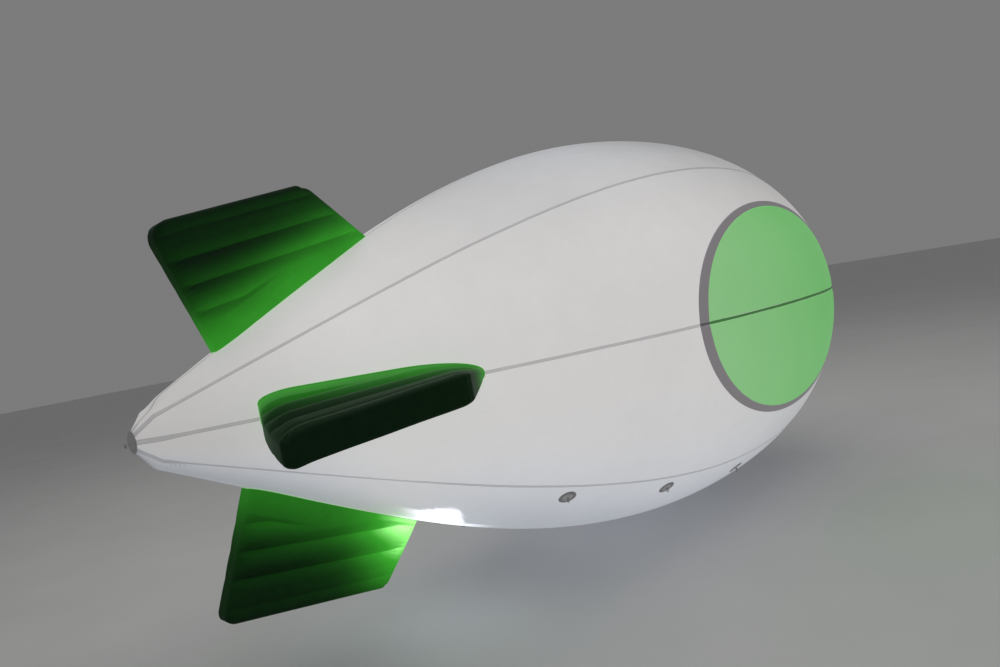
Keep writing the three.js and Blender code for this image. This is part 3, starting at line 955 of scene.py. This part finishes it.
def hexagon(turn):
    """Distance from a hexagon's middle to its edge in a direction; its flats are 1 away."""
    return 1 / math.cos((turn + math.pi / 6) % (math.pi / 3) - math.pi / 6)


def add_gland(plastic):
    """A flange that follows the skin, a six-sided nut, a ribbed cap and a bore for the cable."""
    on_skin = on_skin_at(GLAND_STATION, BELLY_ANGLE)
    base = surface_frame(GLAND_STATION, BELLY_ANGLE, FITTING_LIFT)
    bore, radius, top = GLAND_BORE, GLAND_RADIUS, GLAND_LENGTH
    flange = [(bore, 0.0), (2 * radius, 0.0), (2 * radius, 0.0022), (2 * radius - 0.002, 0.003)]
    flange.append((radius + 0.002, 0.003))
    nut = [(radius, 0.005), (radius, 0.013), (radius - 0.0015, 0.0145)]
    ribbed = [(radius - 0.004, 0.015), (radius - 0.004, 0.0255)]
    mouth = [(radius - 0.006, 0.0285), (bore + 0.004, top - 0.001), (bore + 0.001, top), (bore, top - 0.001)]
    section = flange + nut + ribbed + mouth
    steps = 72

    def point(i, j):
        turn = 2 * math.pi * i / steps
        reach, height = section[j]
        if section[j] in nut:
            reach *= 0.94 * hexagon(turn)
        if section[j] in ribbed:
            reach *= 1 + 0.02 * math.cos(18 * turn)
        a, b = reach * math.cos(turn), reach * math.sin(turn)
        return on_skin(a, b, height + 0.0004) if section[j] in flange else base @ Vector((a, b, height))

    piece = band("gland", steps, len(section), point, sharp=40)
    finish_piece(piece, plastic, "dark_fitting", "cable_gland")


def add_valve(cloth, cap_cloth):
    """A round flange that follows the skin, and a screw cap with a knurled edge."""
    base = surface_frame(VALVE_STATION, BELLY_ANGLE, FITTING_LIFT)
    rim = VALVE_RADIUS
    flange = [(0, 0.0026), (rim * 0.5, 0.0026), (rim * 0.9, 0.0024), (rim, 0.0014), (rim, 0.0003)]
    flange += [(rim * 0.5, 0.0002), (0, 0.0002)]
    piece = turned("valve_flange", flange, 72, on_skin_at(VALVE_STATION, BELLY_ANGLE))
    finish_piece(piece, cloth, "patch", "air_valve")
    cap, top = VALVE_CAP, VALVE_HEIGHT
    profile = [(0, top - 0.003), (cap * 0.3, top - 0.003), (cap * 0.34, top - 0.0008), (cap * 0.8, top)]
    profile += [(cap * 0.95, top - 0.001), (cap, top - 0.003), (cap, 0.010), (cap * 0.9, 0.009)]
    profile += [(cap * 0.9, 0.004), (cap * 0.96, 0.002), (cap * 0.5, 0.002), (0, 0.002)]

    def knurled(a, b, height):
        turn = math.atan2(b, a)
        grip = 1 + (0.022 * math.cos(24 * turn) if 0.009 < height < top - 0.002 else 0)
        return base @ Vector((a * grip, b * grip, height))

    finish_piece(turned("valve_cap", profile, 144, knurled), cap_cloth, "patch")


# Materials

class Nodes:
    """A material's node tree with short calls for what the finishes share."""

    def __init__(self, name):
        self.material = bpy.data.materials.new(name)
        self.material.use_nodes = True
        self.tree = self.material.node_tree
        self.shader = self.tree.nodes["Principled BSDF"]
        self.place = self.add("TexCoord").outputs["Object"]

    def add(self, kind, inputs=None, **settings):
        node = self.tree.nodes.new(f"ShaderNode{kind}")
        for key, value in settings.items():
            setattr(node, key, value)
        self.fill(node, inputs or {})
        return node

    def fill(self, node, inputs):
        """Each input takes a value or the output of another node; one without either is left alone."""
        for key, value in inputs.items():
            if isinstance(value, bpy.types.NodeSocket):
                self.tree.links.new(value, node.inputs[key])
            elif value is not None:
                node.inputs[key].default_value = value

    def math(self, operation, a, b):
        return self.add("Math", {0: a, 1: b}, operation=operation).outputs[0]

    def scaled(self, value, factor, offset):
        return self.math("ADD", self.math("MULTIPLY", value, factor), offset)

    def noise(self, scale, detail=3.0, roughness=0.55):
        inputs = {"Vector": self.place, "Scale": scale, "Detail": detail, "Roughness": roughness}
        return self.add("TexNoise", inputs).outputs["Fac"]

    def ramp(self, value, stops):
        node = self.add("ValToRGB", {"Fac": value})
        elements = node.color_ramp.elements
        while len(elements) < len(stops):
            elements.new(0.5)
        for element, (position, colour) in zip(elements, stops):
            element.position = position
            element.color = (*colour, 1.0)
        return node.outputs["Color"]

    def blend(self, share, a, b, kind="MIX"):
        colours = [(*c, 1.0) if isinstance(c, tuple) else c for c in (a, b)]
        inputs = {"Factor": share, 6: colours[0], 7: colours[1]}
        return self.add("Mix", inputs, data_type="RGBA", blend_type=kind).outputs[2]

    def attribute(self, name):
        return self.add("Attribute", attribute_name=name).outputs["Fac"]

    def weave(self, pitch):
        """Two crossed sets of fine threads, for a coated fabric's bump."""
        inputs = {"Vector": self.place, "Scale": 0.1 / pitch, "Distortion": 0.4, "Detail": 1.0}
        waves = [self.add("TexWave", inputs, bands_direction=direction) for direction in ("X", "Z")]
        return self.math("ADD", *(wave.outputs["Fac"] for wave in waves))

    def bump(self, height, distance, strength, after=None):
        inputs = {"Strength": strength, "Distance": distance, "Height": height, "Normal": after}
        return self.add("Bump", inputs).outputs["Normal"]

    def finish(self, colour, roughness, normal=None, metallic=0.0, specular=0.5, light=None, strength=None):
        self.fill(self.shader, {
            "Base Color": colour, "Roughness": roughness, "Normal": normal, "Metallic": metallic,
            "Specular IOR Level": specular, "Emission Color": light, "Emission Strength": strength,
        })
        return self.material


def grey(value):
    return (value, value, value)


def shade(colour, share):
    return tuple(part * share for part in colour)


WARM_WHITE = (1.0, 0.966, 0.945)
COOL_WHITE = (0.900, 0.950, 1.060)
SKIN_LIGHT = 0.50
LAMP_LIGHT = 0.9
WELD_SHARE = 0.66
FILM_THREAD = (0.0009, 0.00012, 0.5)


def skin_light(nodes, layer):
    """Light of the film: its colour and strength from how much the lamp reaches each place."""
    glow = nodes.attribute("glow")
    mottle = nodes.scaled(nodes.noise(1.7, 3.0), 0.05, nodes.scaled(nodes.noise(38.0, 4.0), 0.022, 0.964))
    level = nodes.math("MULTIPLY", glow, mottle)
    tone = nodes.ramp(nodes.attribute("cool"), ((0.0, WARM_WHITE), (1.0, COOL_WHITE)))
    strength = nodes.math("MULTIPLY", level, SKIN_LIGHT * layer)
    lamp = nodes.math("MULTIPLY", nodes.attribute("lamp"), LAMP_LIGHT)
    return tone, nodes.math("ADD", strength, lamp)


def cloth_normal(nodes, crinkle, thread):
    """Bump of crinkles (noise scale, detail, depth, strength) and threads (pitch, depth, strength)."""
    scale, detail, depth, strength = crinkle
    folds = nodes.bump(nodes.noise(scale, detail, 0.6), depth, strength)
    pitch, height, sharpness = thread
    return nodes.bump(nodes.weave(pitch), height, sharpness, after=folds)


def film_normal(nodes):
    return cloth_normal(nodes, (9.0, 5.0, 0.0016, 0.35), FILM_THREAD)


def make_skin():
    nodes = Nodes("lit_white_film")
    tone, strength = skin_light(nodes, 1.0)
    dust = nodes.noise(5.0, 6.0, 0.65)
    colour = nodes.ramp(dust, ((0.3, (0.40, 0.40, 0.39)), (0.7, (0.47, 0.47, 0.465))))
    rough = nodes.scaled(dust, 0.2, 0.34)
    return nodes.finish(colour, rough, film_normal(nodes), specular=0.35, light=tone, strength=strength)


def side_oval(nodes, sizes):
    """1 inside the roundel's oval in side view and 0 outside."""
    split = nodes.add("SeparateXYZ", {0: nodes.place})
    centre = TAIL_X + ROUNDEL_STATION
    along = nodes.math("DIVIDE", nodes.math("SUBTRACT", split.outputs["X"], centre), sizes[0])
    up = nodes.math("DIVIDE", nodes.math("SUBTRACT", split.outputs["Z"], ROUNDEL_HEIGHT), sizes[1])
    reach = nodes.math("ADD", nodes.math("POWER", along, 2.0), nodes.math("POWER", up, 2.0))
    return nodes.math("LESS_THAN", reach, 1.0)


FIELD_DIM = (0.130, 0.420, 0.123)
FIELD_LIT = (0.204, 0.422, 0.188)
FIELD_BASE = (0.10, 0.30, 0.09)
BORDER_LIGHT = (0.150, 0.140, 0.148)
BORDER_BASE = (0.13, 0.12, 0.132)


def make_weld():
    """Two layers of film: less light comes through. On the side seams the print runs over them."""
    nodes = Nodes("welded_double_film")
    tone, strength = skin_light(nodes, WELD_SHARE)
    streak = nodes.noise(14.0, 4.0, 0.6)
    tone = nodes.blend(1.0, tone, nodes.ramp(streak, ((0.3, grey(0.90)), (0.7, grey(1.0)))), "MULTIPLY")
    rim = nodes.ramp(nodes.attribute("rim"), ((0.45, grey(1.06)), (1.0, grey(0.80))))
    tone = nodes.blend(1.0, tone, rim, "MULTIPLY")
    outer = side_oval(nodes, ROUNDEL_OUTER)
    inner = side_oval(nodes, ROUNDEL_INNER)
    printed = nodes.blend(inner, (0.17, 0.16, 0.17), (0.10, 0.33, 0.09))
    tone = nodes.blend(outer, tone, printed)
    base = nodes.blend(inner, (0.09, 0.085, 0.09), (0.05, 0.18, 0.05))
    colour = nodes.blend(outer, (0.36, 0.36, 0.365), base)
    return nodes.finish(colour, 0.42, film_normal(nodes), specular=0.35, light=tone, strength=strength)


def make_print(name, dim, lit, base):
    """Print on the film: the light through it is paler where the glow is strong."""
    nodes = Nodes(name)
    glow = nodes.attribute("glow")
    fine = nodes.noise(60.0, 3.0)
    mottle = nodes.scaled(nodes.noise(2.2, 4.0), 0.10, nodes.scaled(fine, 0.03, 0.935))
    strength = nodes.math("MULTIPLY", nodes.math("POWER", glow, 0.5), mottle)
    tone = nodes.ramp(glow, ((0.70, dim), (0.96, lit)))
    colour = nodes.ramp(fine, ((0.3, shade(base, 0.94)), (0.7, base)))
    return nodes.finish(colour, 0.4, film_normal(nodes), specular=0.35, light=tone, strength=strength)


FIN_BASE = (0.010, 0.033, 0.013)
FIN_GLOW = (0.042, 0.400, 0.024)
FIN_BRIGHT = (0.30, 0.85, 0.22)
FIN_LIGHT = 0.75


def make_fin():
    nodes = Nodes("green_film")
    glow = nodes.attribute("glow")
    dust = nodes.noise(26.0, 5.0, 0.65)
    colour = nodes.ramp(dust, ((0.3, shade(FIN_BASE, 0.82)), (0.72, shade(FIN_BASE, 1.12))))
    level = nodes.math("MULTIPLY", glow, nodes.scaled(nodes.noise(4.0, 4.0, 0.6), 0.5, 0.75))
    strength = nodes.math("MULTIPLY", level, FIN_LIGHT)
    rough = nodes.scaled(dust, 0.16, 0.44)
    normal = cloth_normal(nodes, (30.0, 4.0, 0.0012, 0.5), FILM_THREAD)
    tone = nodes.ramp(nodes.math("MULTIPLY", glow, 0.4), ((0.48, FIN_GLOW), (1.0, FIN_BRIGHT)))
    return nodes.finish(colour, rough, normal, specular=0.04, light=tone, strength=strength)


def make_foot_tape():
    nodes = Nodes("green_weld_tape")
    cloud = nodes.noise(30.0, 4.0, 0.6)
    colour = nodes.ramp(cloud, ((0.3, (0.03, 0.20, 0.03)), (0.7, (0.05, 0.27, 0.05))))
    rim = nodes.scaled(cloud, 0.2, nodes.attribute("rim"))
    light = nodes.ramp(rim, ((0.35, (0.03, 0.14, 0.02)), (1.0, (0.36, 0.80, 0.30))))
    return nodes.finish(colour, 0.42, film_normal(nodes), specular=0.3, light=light, strength=0.6)


def make_patch(name, low, high, glow):
    nodes = Nodes(name)
    cloth = nodes.noise(55.0, 5.0, 0.65)
    colour = nodes.ramp(cloth, ((0.3, low), (0.72, high)))
    normal = cloth_normal(nodes, (160.0, 4.0, 0.0004, 0.6), (0.0012, 0.0002, 0.6))
    light = nodes.ramp(cloth, ((0.3, grey(0.85)), (0.7, grey(1.0))))
    return nodes.finish(colour, 0.52, normal, specular=0.3, light=light, strength=glow)


def make_dark():
    nodes = Nodes("black_plastic")
    grain = nodes.noise(240.0, 4.0, 0.6)
    wear = nodes.noise(35.0, 5.0, 0.7)
    colour = nodes.ramp(wear, ((0.35, grey(0.030)), (0.75, grey(0.055))))
    return nodes.finish(colour, nodes.scaled(wear, 0.25, 0.38), nodes.bump(grain, 0.0002, 0.6))


def make_metal():
    nodes = Nodes("plated_wire")
    wear = nodes.noise(120.0, 5.0, 0.65)
    colour = nodes.ramp(wear, ((0.3, grey(0.42)), (0.7, grey(0.62))))
    rough = nodes.scaled(wear, 0.25, 0.18)
    return nodes.finish(colour, rough, nodes.bump(wear, 0.0001, 0.4), metallic=1.0)


# The object

skin = make_skin()
weld = make_weld()
field_print = make_print("green_print", FIELD_DIM, FIELD_LIT, FIELD_BASE)
border_print = make_print("grey_print", BORDER_LIGHT, BORDER_LIGHT, BORDER_BASE)
fin_film = make_fin()
foot_tape = make_foot_tape()
patch_cloth = make_patch("grey_patch_cloth", (0.145, 0.137, 0.155), (0.185, 0.175, 0.197), 0.08)
cap_cloth = make_patch("light_patch_cloth", (0.215, 0.205, 0.232), (0.268, 0.257, 0.288), 0.14)
dark_plastic = make_dark()
ring_metal = make_metal()

for number, place in enumerate(GORE_PLACES):
    add_gore(place, number, skin)
for number, place in enumerate(SEAM_PLACES):
    add_seam(place, number, weld)
for name, side in SIDES:
    for half, upper in (("upper", 1), ("lower", -1)):
        add_roundel_half(f"{name}_{half}", side, upper, field_print, border_print)
for row in FINS:
    shape = FinShape(**row)
    add_root_tape(shape, add_fin(shape, fin_film), foot_tape)
for name, side in SIDES:
    for place, station, angle in TETHER_POINTS:
        turn = math.radians(-side * angle)
        add_tether_patch(f"{place}_{name}", station, turn, patch_cloth, cap_cloth, ring_metal)
add_tail_end(patch_cloth, skin, ring_metal)
add_nose_end(patch_cloth, cap_cloth, ring_metal)
add_zip(dark_plastic, ring_metal)
add_gland(dark_plastic)
add_valve(patch_cloth, cap_cloth)


# Studio

FLOOR_HEIGHT = -1.26
FLOOR_TILE = 10.0
FLOOR_TILES = 12
BACKDROP = grey(0.20)
LIGHT_HEIGHT = 7.0
LIGHT_SIZE = 12.0
LIGHT_POWER = 260
LIGHT_COLOUR = (1.0, 0.99, 0.97)


def add_floor():
    rows = range(FLOOR_TILES)
    wide = FLOOR_TILES + 1
    lines = [(n - FLOOR_TILES / 2) * FLOOR_TILE for n in range(wide)]
    places = [(x, y, FLOOR_HEIGHT) for y in lines for x in lines]
    starts = [row * wide + column for row in rows for column in rows]
    faces = [(start, start + 1, start + wide + 1, start + wide) for start in starts]
    floor = add_object("studio_floor", places, faces)
    nodes = Nodes("pale_floor")
    cloud = nodes.noise(1.2, 5.0, 0.6)
    colour = nodes.ramp(cloud, ((0.3, grey(0.66)), (0.7, grey(0.70))))
    floor.data.materials.append(nodes.finish(colour, 0.6, specular=0.2))


def add_overhead_light():
    data = bpy.data.lights.new("overhead", "AREA")
    data.size = LIGHT_SIZE
    data.energy = LIGHT_POWER
    data.color = LIGHT_COLOUR
    put_in_scene("overhead", data).location = (0, 0, LIGHT_HEIGHT)


def add_world():
    world = bpy.data.worlds.new("studio")
    world.use_nodes = True
    world.node_tree.nodes["Background"].inputs["Color"].default_value = (*BACKDROP, 1.0)
    bpy.context.scene.world = world


add_floor()
add_world()
add_overhead_light()
bpy.context.scene.view_settings.view_transform = "Standard"
